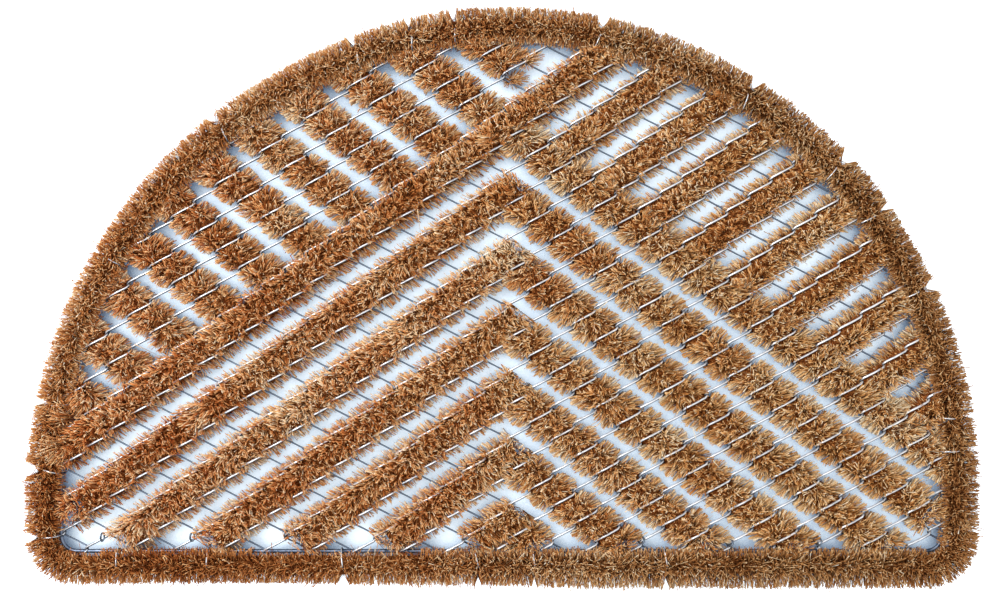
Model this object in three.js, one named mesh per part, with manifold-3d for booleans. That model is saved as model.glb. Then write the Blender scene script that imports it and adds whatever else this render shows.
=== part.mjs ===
// Half-round coir wire-brush doormat, millimetres, +Z up.
// Coir brush rows stand in a diamond wire mesh and lie as nested chevrons with
// slanted rows above them. A coir brush border, tied on in lengths, runs round
// a bent frame rod. The origin is under the middle of the mat's bounding box.

import * as THREE from 'three';
import { mergeVertices } from 'three/addons/utils/BufferGeometryUtils.js';
import Module from 'manifold-3d';

const wasm = await Module();
wasm.setup();

// Overall sizes
const matWidth = 750;
const pileHeight = 24;
const cornerRadius = 38;
const sideHeight = 80;              // right-hand side, from the flat edge to the first bend
const fitGap = 0.3;                 // clearance between neighbouring pieces

// The crown of the outline is bent by hand, in five equal sweeps from right to
// left. The radii are scaled together until the crown spans the mat's width.
const crownSweep = Math.PI / 5;
const crownBends = [
  { radius: 380 },
  { radius: 368 },
  { radius: 361 },
  { radius: 397 },
  { radius: 377 },
];

// Border brush and the frame rod that lies in its inner flank
const borderWidth = 27;
const borderShoulder = 6;           // rounding of the brush at its outer edge
const innerShoulder = 4;
const rodDiameter = 3.2;
const rodHeight = 12;               // mid-height of the mesh and of the rod
const rodGroove = rodDiameter + 2 * fitGap;
const rodInset = borderWidth - rodGroove / 2;
const rodJointGap = 0.5;

// Diamond mesh: the step from one cell to the next, up and down to the right
const riseStep = new THREE.Vector2(17.5, 12.85);
const fallStep = new THREE.Vector2(17.35, -13.2);
const crownCell = new THREE.Vector2(4.4, 413.4);    // from the middle of the flat edge

// Chevrons: cells from the apex line to the last whole cell of each arm
const chevrons = [
  { line: 2, leftEnd: 22, rightEnd: 22 },
  { line: 4, leftEnd: 23, rightEnd: 23 },
  { line: 6, leftEnd: 23, rightEnd: 23 },
  { line: 8, leftEnd: 21, rightEnd: 21 },
  { line: 10, leftEnd: 19, rightEnd: 19 },
  { line: 12, leftEnd: 17, rightEnd: 17 },
  { line: 14, leftEnd: 15, rightEnd: 15 },
];
const lastUpperRow = 20;

// Brush rows: half-widths of the flared top, of the pinched waist and of the foot
const rowHalf = 14.4;
const waistHalf = 10.4;
const footHalf = 13;
const crestHalf = 9;
const flareHeight = 19;
const valleySink = 4;               // how far a row drops where a top wire crosses it
const valleyWidth = 0.86;           // and how far it narrows there

// Ties of the border brush: distance along the outline from the middle of the
// flat edge, counter-clockwise, and the gap that the tie opens in the brush
const borderTies = [
  { at: 26, gap: 1 },
  { at: 130, gap: 1.5 },
  { at: 465, gap: 1.5 },
  { at: 492, gap: 1.5 },
  { at: 600, gap: 4 },
  { at: 672, gap: 2 },
  { at: 722, gap: 4 },
  { at: 816, gap: 3 },
  { at: 948, gap: 3 },
  { at: 1068, gap: 2 },
  { at: 1104, gap: 1.5 },
  { at: 1151, gap: 2 },
  { at: 1278, gap: 3 },
  { at: 1419, gap: 1.5 },
  { at: 1548, gap: 2 },
  { at: 1602, gap: 4 },
  { at: 1656, gap: 3 },
  { at: 1748, gap: 1 },
  { at: 1819, gap: 1 },
  { at: 1926, gap: 3 },
  { at: 2033, gap: 1.5 },
];

const coirFinish = { roughness: 0.95, metalness: 0 };
const rowColours = ['#a5622f', '#b2702f', '#9c5a2b'];
const borderColours = ['#94562a', '#a06030'];
const zincFinish = { color: '#b9bec4', roughness: 0.35, metalness: 1 };

// ---- Outline -------------------------------------------------------------
// The outer edge is a chain of straight runs and arcs, walked counter-clockwise
// from the middle of the flat edge.

function makeOutline() {
  const runs = [];
  let x = 0;
  let y = 0;
  let heading = 0;
  function addLine(length) {
    runs.push({ length, radius: Infinity, x, y, heading });
    x += length * Math.cos(heading);
    y += length * Math.sin(heading);
  }
  function addArc(radius, sweep) {
    runs.push({ length: radius * sweep, radius, x, y, heading });
    const centreX = x - radius * Math.sin(heading);
    const centreY = y + radius * Math.cos(heading);
    heading += sweep;
    x = centreX + radius * Math.sin(heading);
    y = centreY - radius * Math.cos(heading);
  }
  addLine(matWidth / 2 - cornerRadius);
  addArc(cornerRadius, Math.PI / 2);
  addLine(sideHeight - cornerRadius);
  const span = crownBends.reduce((sum, bend, n) => (
    sum + bend.radius * (Math.cos(n * crownSweep) - Math.cos((n + 1) * crownSweep))
  ), 0);
  for (const bend of crownBends) addArc(bend.radius * matWidth / span, crownSweep);
  addLine(y - cornerRadius);
  addArc(cornerRadius, Math.PI / 2);
  addLine(-x);
  return runs;
}

const outline = makeOutline();
const outlineLength = outline.reduce((sum, run) => sum + run.length, 0);

// Point at a distance along the outline, moved inwards by inset
function outlinePoint(distance, inset) {
  let rest = ((distance % outlineLength) + outlineLength) % outlineLength;
  let run = outline[0];
  for (run of outline) {
    if (rest <= run.length) break;
    rest -= run.length;
  }
  const heading = run.heading + (run.radius === Infinity ? 0 : rest / run.radius);
  let x = run.x;
  let y = run.y;
  if (run.radius === Infinity) {
    x += rest * Math.cos(heading);
    y += rest * Math.sin(heading);
  } else {
    x += run.radius * (Math.sin(heading) - Math.sin(run.heading));
    y -= run.radius * (Math.cos(heading) - Math.cos(run.heading));
  }
  return new THREE.Vector2(x - inset * Math.sin(heading), y + inset * Math.cos(heading));
}

// Distances at which a sweep along the outline needs a section: its two ends,
// every change of run, and steps along each arc
const arcStep = 28;
const cornerSteps = 6;
const leastStep = 2;                // mm, the shortest step worth a section of its own

function outlineStations(from, to) {
  const stations = [from];
  let start = 0;
  for (let lap = 0; lap < 2; lap++) {
    for (const run of outline) {
      const tight = run.radius === cornerRadius;
      const curved = run.radius !== Infinity;
      const steps = tight ? cornerSteps : curved ? Math.ceil(run.length / arcStep) : 1;
      for (let step = 0; step < steps; step++) {
        const at = start + run.length * step / steps;
        if (at > from + leastStep && at < to - leastStep) stations.push(at);
      }
      start += run.length;
    }
  }
  stations.push(to);
  return stations;
}

// ---- Solids --------------------------------------------------------------

// Extrudes a section through a list of stations and lets place() set where each
// corner of each section goes
function sweep(section, stations, place) {
  const steps = stations.length - 1;
  const geometry = new THREE.ExtrudeGeometry(section, { depth: 1, steps, bevelEnabled: false });
  const position = geometry.attributes.position;
  const corner = new THREE.Vector3();
  for (let n = 0; n < position.count; n++) {
    corner.fromBufferAttribute(position, n);
    const spot = place(corner.x, corner.y, stations[Math.round(corner.z * steps)]);
    position.setXYZ(n, spot.x, spot.y, spot.z);
  }
  return geometry;
}

function toSolid(geometry) {
  const bare = geometry.clone();
  bare.deleteAttribute('normal');
  bare.deleteAttribute('uv');
  const tolerance = 1e-4;           // mm, between corners that are one point
  const merged = mergeVertices(bare, tolerance);
  const mesh = new wasm.Mesh({
    numProp: 3,
    vertProperties: new Float32Array(merged.attributes.position.array),
    triVerts: new Uint32Array(merged.index.array),
  });
  return new wasm.Manifold(mesh);
}

function toGeometry(solid) {
  const mesh = solid.getMesh();
  const geometry = new THREE.BufferGeometry();
  geometry.setAttribute('position', new THREE.BufferAttribute(mesh.vertProperties, 3));
  geometry.setIndex(new THREE.BufferAttribute(mesh.triVerts, 1));
  geometry.computeVertexNormals();
  return geometry;
}

// The field inside the border, a little clear of it, that cuts the rows' ends
function makeField() {
  const margin = 1;                 // mm, past the brush's foot and tips
  const stations = outlineStations(0, outlineLength).slice(0, -1);
  const inner = stations.map((at) => outlinePoint(at, borderWidth + fitGap));
  const plate = new THREE.ExtrudeGeometry(new THREE.Shape(inner), {
    depth: pileHeight + 2 * margin,
    bevelEnabled: false,
  });
  plate.translate(0, 0, -margin);
  return toSolid(plate);
}

// ---- Mesh cells ----------------------------------------------------------
// A cell is counted from the crown cell: rise counts cells up to the right and
// fall counts cells down to the right. Wires run half-way between cells.

function cellPoint(rise, fall) {
  return crownCell.clone().addScaledVector(riseStep, rise).addScaledVector(fallStep, fall);
}

// Distance square across one row of cells, from wire to wire
const cellArea = Math.abs(riseStep.cross(fallStep));
const risingPitch = cellArea / riseStep.length();
const fallingPitch = cellArea / fallStep.length();

// Where a piece that meets a row's flank has to stop, in cells from the row's line
const risingFlank = (rowHalf + fitGap) / risingPitch;
const fallingFlank = (rowHalf + fitGap) / fallingPitch;
const halfCell = 0.5;
const endFlare = 0.12;              // how far brush spreads past its last cell, in cells
const beyondBorder = 30;            // cells, past any edge of the mat

const rowSection = new THREE.Shape([
  new THREE.Vector2(-footHalf, 0),
  new THREE.Vector2(footHalf, 0),
  new THREE.Vector2(waistHalf, rodHeight),
  new THREE.Vector2(rowHalf, flareHeight),
  new THREE.Vector2(crestHalf, pileHeight),
  new THREE.Vector2(-crestHalf, pileHeight),
  new THREE.Vector2(-rowHalf, flareHeight),
  new THREE.Vector2(-waistHalf, rodHeight),
]);

// A rising row: its cells merge, so it is one even bar of brush
function risingRow(line, from, to) {
  return sweep(rowSection, [from, to], (across, up, at) => {
    const spot = cellPoint(at, line - across / risingPitch);
    return new THREE.Vector3(spot.x, spot.y, up);
  });
}

// A falling row: a top wire crosses it between cells, so it is a chain of pillows
function fallingRow(line, from, to) {
  const stations = [from];
  const leastRun = 0.2;             // cells, the shortest run between two sections
  let next = Math.ceil((from + leastRun) / halfCell) * halfCell;
  for (; next < to - leastRun; next += halfCell) stations.push(next);
  stations.push(to);
  return sweep(rowSection, stations, (across, up, station) => {
    const atWire = Number.isInteger(station - halfCell);
    const narrow = atWire && up > 0 ? valleyWidth : 1;
    const aboveMesh = Math.max(0, up - rodHeight) / (pileHeight - rodHeight);
    const sink = atWire ? valleySink * aboveMesh : 0;
    const spot = cellPoint(line + across * narrow / fallingPitch, station);
    return new THREE.Vector3(spot.x, spot.y, up - sink);
  });
}

// ---- Build ---------------------------------------------------------------

const outerPoints = outlineStations(0, outlineLength).map((at) => outlinePoint(at, 0));
const outerBox = new THREE.Box2().setFromPoints(outerPoints);
const middle = outerBox.getCenter(new THREE.Vector2());

const mat = new THREE.Group();
const field = makeField();
let rowCount = 0;

function addPiece(name, geometry, finish) {
  geometry.translate(-middle.x, -middle.y, 0);
  const mesh = new THREE.Mesh(geometry, new THREE.MeshStandardMaterial(finish));
  mesh.name = name;
  mat.add(mesh);
}

function addRow(name, geometry) {
  const color = rowColours[rowCount % rowColours.length];
  rowCount += 1;
  addPiece(name, toGeometry(toSolid(geometry).intersect(field)), { color, ...coirFinish });
}

function twoDigits(number) {
  return String(number).padStart(2, '0');
}

// The two arms of each chevron. The left arm rises from the border to the apex
// line and closes it; the outermost one runs on to the upper right border. The
// right arm falls from the left arm's lower flank to the border.
for (const { line, leftEnd, rightEnd } of chevrons) {
  const crossing = line === chevrons[0].line;
  const top = crossing ? beyondBorder : -line + fallingFlank;
  const left = risingRow(line, -leftEnd - halfCell - endFlare, top);
  const right = fallingRow(-line, line + risingFlank, rightEnd + halfCell + endFlare);
  addRow(`arm_left_${twoDigits(line)}`, left);
  addRow(`arm_right_${twoDigits(line)}`, right);
}

// Rows above the outermost chevron, from its arms to the border
const outermost = chevrons[0].line;
for (let line = outermost; line <= lastUpperRow; line += 2) {
  const left = fallingRow(-line, -beyondBorder, outermost - risingFlank);
  addRow(`upper_left_${twoDigits(line)}`, left);
  if (line > outermost) {
    const right = risingRow(line, -outermost + fallingFlank, beyondBorder);
    addRow(`upper_right_${twoDigits(line)}`, right);
  }
}

// The crown cell, between the two arms of the topmost gap
addRow('crown', fallingRow(0, -beyondBorder, halfCell + endFlare));

// Border brush lengths between ties
const borderSection = new THREE.Shape([
  new THREE.Vector2(0, borderShoulder),
  new THREE.Vector2(borderShoulder, 0),
  new THREE.Vector2(borderWidth - innerShoulder, 0),
  new THREE.Vector2(borderWidth, innerShoulder),
  new THREE.Vector2(borderWidth, rodHeight - rodGroove / 2),
  new THREE.Vector2(borderWidth - rodGroove, rodHeight - rodGroove / 2),
  new THREE.Vector2(borderWidth - rodGroove, rodHeight + rodGroove / 2),
  new THREE.Vector2(borderWidth, rodHeight + rodGroove / 2),
  new THREE.Vector2(borderWidth, pileHeight - innerShoulder),
  new THREE.Vector2(borderWidth - innerShoulder, pileHeight),
  new THREE.Vector2(borderShoulder, pileHeight),
  new THREE.Vector2(0, pileHeight - borderShoulder),
]);

function alongOutline(inset, up, at) {
  const spot = outlinePoint(at, inset);
  return new THREE.Vector3(spot.x, spot.y, up);
}

borderTies.forEach((tie, n) => {
  const next = borderTies[(n + 1) % borderTies.length];
  const from = tie.at + tie.gap / 2;
  const to = next.at - next.gap / 2 + (n === borderTies.length - 1 ? outlineLength : 0);
  const brush = sweep(borderSection, outlineStations(from, to), alongOutline);
  addPiece(`border_${twoDigits(n + 1)}`, brush, { color: borderColours[n % 2], ...coirFinish });
});

// Frame rod, bent from one length with its ends butted at the flat edge
const rodSides = 8;
const rodSection = new THREE.Shape();
for (let side = 0; side < rodSides; side++) {
  const angle = (side + 0.5) * 2 * Math.PI / rodSides;
  const inset = rodInset + rodDiameter / 2 * Math.cos(angle);
  const up = rodHeight + rodDiameter / 2 * Math.sin(angle);
  if (side === 0) rodSection.moveTo(inset, up);
  else rodSection.lineTo(inset, up);
}
const rodStations = outlineStations(rodJointGap, outlineLength);
addPiece('frame_rod', sweep(rodSection, rodStations, alongOutline), zincFinish);

export default mat;
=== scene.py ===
import math

import bpy
import numpy as np
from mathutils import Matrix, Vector


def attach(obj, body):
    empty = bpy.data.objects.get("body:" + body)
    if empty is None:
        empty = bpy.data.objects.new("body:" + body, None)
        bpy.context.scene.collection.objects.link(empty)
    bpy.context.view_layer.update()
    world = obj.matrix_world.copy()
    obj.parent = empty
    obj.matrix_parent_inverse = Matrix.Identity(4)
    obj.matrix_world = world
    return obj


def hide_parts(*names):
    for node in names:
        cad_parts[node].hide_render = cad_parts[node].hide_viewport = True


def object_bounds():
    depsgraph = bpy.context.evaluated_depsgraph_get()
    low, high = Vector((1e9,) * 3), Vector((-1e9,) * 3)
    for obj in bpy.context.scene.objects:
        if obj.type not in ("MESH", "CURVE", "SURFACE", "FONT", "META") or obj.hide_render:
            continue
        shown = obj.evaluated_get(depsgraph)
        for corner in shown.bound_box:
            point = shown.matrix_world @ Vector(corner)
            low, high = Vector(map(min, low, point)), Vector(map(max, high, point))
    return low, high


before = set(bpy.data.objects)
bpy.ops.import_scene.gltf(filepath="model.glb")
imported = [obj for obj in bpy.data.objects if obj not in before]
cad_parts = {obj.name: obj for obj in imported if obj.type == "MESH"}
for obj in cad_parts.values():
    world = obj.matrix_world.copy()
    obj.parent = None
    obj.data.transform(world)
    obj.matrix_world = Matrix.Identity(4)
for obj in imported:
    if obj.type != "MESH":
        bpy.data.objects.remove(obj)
cadLow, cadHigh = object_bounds()
rng = np.random.default_rng(11)
mm = 0.001
print("frame loaded,", len(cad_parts), "nodes")

# the mat's plan: the same sizes as the part, in millimetres
plan = {
    "width": 750,
    "cornerRadius": 38,
    "sideHeight": 80,       # up to where the curve begins
    "crownRadii": (380, 368, 361, 397, 377),        # its arcs, before they are scaled to the width
    "borderWidth": 27,
    "rodInset": 25.1,
    "rodHeight": 12,
    "rodJointGap": 0.5,
    "pileHeight": 24,
    "riseStep": (17.5, 12.85),      # from a cell of the mesh to the next, along the left arms
    "fallStep": (17.35, -13.2),     # and along the right ones
    "crownCell": (4.4, 413.4),      # the cell that the rows are counted from
    "rowHalf": 14.4,
    "fitGap": 0.3,
    "lastUpperRow": 20,
    "endFlare": 0.12,       # cells that a row's open end reaches past its last cell
}
# cells from the apex line to the last whole cell of each chevron arm
chevrons = (
    (2, 22, 22), (4, 23, 23), (6, 23, 23), (8, 21, 21), (10, 19, 19), (12, 17, 17), (14, 15, 15),
)
# border ties: distance along the edge, counter-clockwise from the middle of the flat one, the gap
# there, and how proud of the outline the brush stands from that tie to the next
borderTies = (
    (26, 1, 2.5), (130, 1.5, 2), (465, 1.5, 0.5), (492, 1.5, 0.5), (600, 4, -0.5), (672, 2, 1),
    (722, 4, -0.5), (816, 3, 1), (948, 3, 0), (1068, 2, 1), (1104, 1.5, 0), (1151, 2, -1),
    (1278, 3, 0), (1419, 1.5, -1), (1548, 2, -0.5), (1602, 4, 1.5), (1656, 3, -1), (1748, 1, -2),
    (1819, 1, -2), (1926, 3, -0.5), (2033, 1.5, 0),
)


def walkOutline():
    # points and headings every millimetre along the outer edge, walked counter-clockwise
    corner, side = plan["cornerRadius"], plan["sideHeight"]
    radii = np.array(plan["crownRadii"], float)
    turns = np.arange(len(radii) + 1) * math.pi / len(radii)
    radii *= plan["width"] / np.sum(radii * (np.cos(turns[:-1]) - np.cos(turns[1:])))
    runs = [(plan["width"] / 2 - corner, 0), (corner * math.pi / 2, corner), (side - corner, 0)]
    runs += [(radius * math.pi / len(radii), radius) for radius in radii]
    rise = side + float(np.sum(radii * (np.sin(turns[1:]) - np.sin(turns[:-1]))))
    runs += [(rise - corner, 0), (corner * math.pi / 2, corner), (plan["width"] / 2 - corner, 0)]
    headings = []
    heading = 0.0
    step = 0.5
    for length, radius in runs:
        count = max(1, round(length / step))
        turn = length / radius / count if radius else 0
        headings += [(heading + turn * (n + 0.5), length / count) for n in range(count)]
        heading += turn * count
    angle, stride = np.array(headings).T
    x = np.concatenate([[0], np.cumsum(stride * np.cos(angle))])
    y = np.concatenate([[0], np.cumsum(stride * np.sin(angle))])
    along = np.concatenate([[0], np.cumsum(stride)])
    angle = np.concatenate([[0], angle])
    return along, x, y, angle


outlineAlong, outlineX, outlineY, outlineAngle = walkOutline()
outlineLength = outlineAlong[-1]


def outlinePoint(along, inset):
    # plan position in metres, and the heading there
    along = np.mod(along, outlineLength)
    x = np.interp(along, outlineAlong, outlineX)
    y = np.interp(along, outlineAlong, outlineY)
    angle = np.interp(along, outlineAlong, outlineAngle)
    x = (x - inset * np.sin(angle)) * mm
    y = (y + inset * np.cos(angle)) * mm + cadLow.y
    return x, y, angle


def insetOf(x, y):
    # how far inside the outer edge a plan position lies, in millimetres
    everyNth, atOnce = 4, 4000
    px, py, angle = outlinePoint(outlineAlong[::everyNth], 0)
    result = np.empty(len(x))
    for start in range(0, len(x), atOnce):
        part = slice(start, start + atOnce)
        dx = x[part, None] - px[None, :]
        dy = y[part, None] - py[None, :]
        near = np.argmin(dx * dx + dy * dy, axis=1)
        rows = np.arange(len(near))
        sine, cosine = np.sin(angle[near]), np.cos(angle[near])
        result[part] = (-dx[rows, near] * sine + dy[rows, near] * cosine) / mm
    return result


riseStep = np.array(plan["riseStep"]) * mm
fallStep = np.array(plan["fallStep"]) * mm
crownCell = np.array(plan["crownCell"]) * mm + np.array([0, cadLow.y])
cellArea = abs(riseStep[0] * fallStep[1] - riseStep[1] * fallStep[0])
cellLength = np.linalg.norm(riseStep)
rowReach = plan["rowHalf"] * mm * cellLength / cellArea      # half a row's width, in cells
stopReach = (plan["rowHalf"] + plan["fitGap"]) * mm * cellLength / cellArea
mostCells = 28      # no row is longer than this


def cellPoint(rise, fall):
    rise, fall = np.broadcast_arrays(rise, fall)
    return crownCell + rise[..., None] * riseStep + fall[..., None] * fallStep


def listRows():
    # every brush row: family, line, first and last cell coordinate, and the node it stands for
    rows = []
    beyond = 30     # past the border, which trims the row
    for line, leftEnd, rightEnd in chevrons:
        top = beyond if line == chevrons[0][0] else -line + stopReach
        rows.append(("rising", line, -leftEnd - 0.5 - plan["endFlare"], top, f"arm_left_{line:02d}"))
        end = rightEnd + 0.5 + plan["endFlare"]
        rows.append(("falling", -line, line + stopReach, end, f"arm_right_{line:02d}"))
    outer = chevrons[0][0]
    for line in range(outer, plan["lastUpperRow"] + 1, 2):
        rows.append(("falling", -line, -beyond, outer - stopReach, f"upper_left_{line:02d}"))
        if line > outer:
            rows.append(("rising", line, -outer + stopReach, beyond, f"upper_right_{line:02d}"))
    rows.append(("falling", 0, -beyond, 0.5 + plan["endFlare"], "crown"))
    return rows


def newMaterial(name):
    material = bpy.data.materials.new(name)
    material.use_nodes = True
    nodes = material.node_tree.nodes
    return material, nodes, material.node_tree.links, nodes["Principled BSDF"]


def linearColour(colour):
    # written as the 0 to 255 values that a painter would pick
    values = [c / 255 for c in colour]
    return [v / 12.92 if v <= 0.04045 else ((v + 0.055) / 1.055) ** 2.4 for v in values] + [1]


def feed(links, socket, value):
    # a socket takes either a value or another node's output
    if isinstance(value, bpy.types.NodeSocket):
        links.new(value, socket)
    else:
        socket.default_value = value


def addMath(nodes, links, operation, *values):
    node = nodes.new("ShaderNodeMath")
    node.operation = operation
    for socket, value in zip(node.inputs, values):
        feed(links, socket, value)
    return node.outputs[0]


def addRange(nodes, links, value, fromRange=(0, 1), toRange=(0, 1)):
    node = nodes.new("ShaderNodeMapRange")
    node.inputs["From Min"].default_value, node.inputs["From Max"].default_value = fromRange
    node.inputs["To Min"].default_value, node.inputs["To Max"].default_value = toRange
    links.new(value, node.inputs["Value"])
    return node.outputs["Result"]


def addMix(nodes, links, factor, first, second):
    node = nodes.new("ShaderNodeMix")
    node.data_type = "RGBA"
    for key, value in (("Factor", factor), ("A", first), ("B", second)):
        feed(links, node.inputs[key], value)
    return node.outputs["Result"]


def addRamp(nodes, links, value, stops):
    ramp = nodes.new("ShaderNodeValToRGB")
    elements = ramp.color_ramp.elements
    stops = list(stops)
    while len(elements) < len(stops):
        elements.new(0.5)
    for element, (position, colour) in zip(elements, stops):
        element.position = position
        element.color = linearColour(colour)
    links.new(value, ramp.inputs["Fac"])
    return ramp.outputs["Color"]


def addNoise(nodes, links, place, scale, detail):
    noise = nodes.new("ShaderNodeTexNoise")
    noise.inputs["Scale"].default_value = scale
    noise.inputs["Detail"].default_value = detail
    links.new(place.outputs["Object"], noise.inputs["Vector"])
    return noise.outputs["Fac"]


def addAttribute(nodes, name):
    attribute = nodes.new("ShaderNodeAttribute")
    attribute.attribute_name = name
    return attribute.outputs["Fac"]


def addSplit(nodes, links, place, axis):
    split = nodes.new("ShaderNodeSeparateXYZ")
    links.new(place.outputs["Object"], split.inputs[0])
    return split.outputs[axis]


coirLook = {
    # colours of a fibre from its darkest tone to its palest, for each of the two hues
    "rust": ((0.0, (78, 22, 3)), (0.25, (162, 70, 21)), (0.5, (218, 130, 65)),
             (0.75, (246, 192, 132)), (1.0, (255, 234, 198))),
    "golden": ((0.0, (72, 29, 5)), (0.25, (156, 88, 33)), (0.5, (216, 148, 80)),
               (0.75, (244, 198, 134)), (1.0, (255, 236, 200))),
    "hueEnds": (-0.3, 0.25),        # metres from the middle, where all is rust and where all is golden
    "hueScale": 11.0,       # and patches of both between them
    "hueShare": 0.6,
    "patchScale": 26.0,     # patches of darker and paler tone
    "patchShare": 0.22,
    "tipPale": 0.34,        # how much further up the colours a fibre's tip is than its root
    "rootShade": 0.45,      # and how much of that colour is left at the root: painted shade deep in the pile
    "roughness": 0.8,
    "gloss": 0.12,
}
borderLook = dict(coirLook, **{
    "rust": ((0.0, (66, 22, 4)), (0.25, (150, 74, 28)), (0.5, (210, 136, 72)),
             (0.75, (242, 200, 146)), (1.0, (253, 240, 212))),
    "golden": ((0.0, (62, 26, 6)), (0.25, (142, 83, 37)), (0.5, (200, 144, 86)),
               (0.75, (236, 202, 152)), (1.0, (252, 240, 214))),
    "tipPale": 0.36,
    "rootShade": 0.46,
})


def coirMaterial(name, look):
    material, nodes, links, shader = newMaterial(name)
    place = nodes.new("ShaderNodeTexCoord")
    tone, reach = addAttribute(nodes, "tone"), addAttribute(nodes, "reach")
    patch = addNoise(nodes, links, place, look["patchScale"], 3)
    shift = addMath(nodes, links, "MULTIPLY_ADD", patch, look["patchShare"] * 2, -look["patchShare"])
    paler = addMath(nodes, links, "MULTIPLY_ADD", reach, look["tipPale"], shift)
    shifted = addMath(nodes, links, "ADD", paler, tone)
    rust = addRamp(nodes, links, shifted, look["rust"])
    golden = addRamp(nodes, links, shifted, look["golden"])
    # rustier towards the left, more golden to the right
    across = addRange(nodes, links, addSplit(nodes, links, place, "X"), look["hueEnds"])
    hue = addNoise(nodes, links, place, look["hueScale"], 2)
    hueShift = addMath(nodes, links, "MULTIPLY_ADD", hue, look["hueShare"] * 2, -look["hueShare"])
    colour = addMix(nodes, links, addMath(nodes, links, "ADD", across, hueShift), rust, golden)
    # painted shade: fibres are darker at their roots, deep in the pile
    shade = addRange(nodes, links, reach, toRange=(look["rootShade"], 1))
    scaled = nodes.new("ShaderNodeVectorMath")
    scaled.operation = "SCALE"
    links.new(colour, scaled.inputs[0])
    links.new(shade, scaled.inputs["Scale"])
    links.new(scaled.outputs["Vector"], shader.inputs["Base Color"])
    shader.inputs["Roughness"].default_value = look["roughness"]
    shader.inputs["Specular IOR Level"].default_value = look["gloss"]
    return material


bedLook = {
    "colours": ((0.3, (48, 20, 6)), (0.5, (116, 62, 26)), (0.7, (176, 110, 58))),
    "grainScale": 900,
    "bump": 0.8,
    "bumpDepth": 0.0008,
    "roughness": 0.95,
    "gloss": 0.05,
}


def bedMaterial(name):
    # the dense body of a row, seen between its fibres; its dark brown is partly coir and partly painted
    # shade
    look = bedLook
    material, nodes, links, shader = newMaterial(name)
    grain = addNoise(nodes, links, nodes.new("ShaderNodeTexCoord"), look["grainScale"], 4)
    links.new(addRamp(nodes, links, grain, look["colours"]), shader.inputs["Base Color"])
    bump = nodes.new("ShaderNodeBump")
    bump.inputs["Strength"].default_value = look["bump"]
    bump.inputs["Distance"].default_value = look["bumpDepth"]
    links.new(grain, bump.inputs["Height"])
    links.new(bump.outputs["Normal"], shader.inputs["Normal"])
    shader.inputs["Roughness"].default_value = look["roughness"]
    shader.inputs["Specular IOR Level"].default_value = look["gloss"]
    return material


zincLook = {
    # each wire's brightest and dullest spangles, roughness, and how metallic it is
    "wireZinc": ((252, 253, 254), (212, 218, 224), 0.3, 0.5),
    "wireSlate": ((120, 132, 146), (70, 82, 96), 0.4, 0.85),
    "rodZinc": ((126, 138, 158), (66, 78, 98), 0.36, 0.85),
    "spangleScale": 220,
    "spangleSteps": (0.35, 0.65),
    "smoother": 0.08,
    "rougher": 0.1,
    # painted shade: the mesh's wire is painted slate below, where it lies low in shade, and its flanks,
    # turned from the lamp, are painted darker than its tops
    "paintedShade": (108, 122, 142),
    "paintedShadeBelow": (0.0152, 0.0118),     # from none to all of it, in metres above the floor
    # painted shade on the flanks; the lit side faces up and towards the key lamp
    "flank": (58, 64, 74),
    "litSide": (-0.32, 0.48, 0.82),
    "flankShadeTurn": (0.68, 0.38),      # from none to all of it, by how far the wire turns from its lit side
}


def zincMaterial(name, paintedShade=False):
    look = zincLook
    bright, dull, roughness, metallic = look[name]
    material, nodes, links, shader = newMaterial(name)
    place = nodes.new("ShaderNodeTexCoord")
    spangle = addNoise(nodes, links, place, look["spangleScale"], 3)
    colour = addRamp(nodes, links, spangle, zip(look["spangleSteps"], (dull, bright)))
    # painted shade: slate where the wire lies low, and darker flanks where it turns from the lamp
    if paintedShade:
        low = addRange(nodes, links, addSplit(nodes, links, place, "Z"), look["paintedShadeBelow"])
        colour = addMix(nodes, links, low, colour, linearColour(look["paintedShade"]))
        facing = nodes.new("ShaderNodeVectorMath")
        facing.operation = "DOT_PRODUCT"
        facing.inputs[1].default_value = look["litSide"]
        links.new(place.outputs["Normal"], facing.inputs[0])
        flankInShade = addRange(nodes, links, facing.outputs["Value"], look["flankShadeTurn"])
        colour = addMix(nodes, links, flankInShade, colour, linearColour(look["flank"]))
    links.new(colour, shader.inputs["Base Color"])
    shader.inputs["Metallic"].default_value = metallic
    wearEnds = (roughness - look["smoother"], roughness + look["rougher"])
    wear = addRange(nodes, links, spangle, toRange=wearEnds)
    links.new(wear, shader.inputs["Roughness"])
    return material


coirFibre = coirMaterial("coirFibre", coirLook)
borderFibre = coirMaterial("borderFibre", borderLook)
coirBed = bedMaterial("coirBed")
wireZinc = zincMaterial("wireZinc", paintedShade=True)
wireSlate = zincMaterial("wireSlate")
rodZinc = zincMaterial("rodZinc")
print("materials made")


def deselectAll():
    bpy.ops.object.select_all(action="DESELECT")


def finishPiece(piece, material):
    piece.data.materials.clear()
    piece.data.materials.append(material)
    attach(piece, "root")
    return piece


def meshFromArrays(name, verts, triangles, attributes):
    # too many fibres for operators, so their corners and faces are filled in all at once
    mesh = bpy.data.meshes.new(name)
    mesh.vertices.add(len(verts))
    mesh.vertices.foreach_set("co", verts.astype(np.float32).ravel())
    mesh.loops.add(triangles.size)
    mesh.loops.foreach_set("vertex_index", triangles.astype(np.int32).ravel())
    mesh.polygons.add(len(triangles))
    mesh.polygons.foreach_set("loop_start", np.arange(0, triangles.size, 3, dtype=np.int32))
    mesh.update()
    for key, values in attributes.items():
        layer = mesh.attributes.new(key, "FLOAT", "POINT")
        layer.data.foreach_set("value", values.astype(np.float32))
    piece = bpy.data.objects.new(name, mesh)
    bpy.context.scene.collection.objects.link(piece)
    return piece


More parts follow.
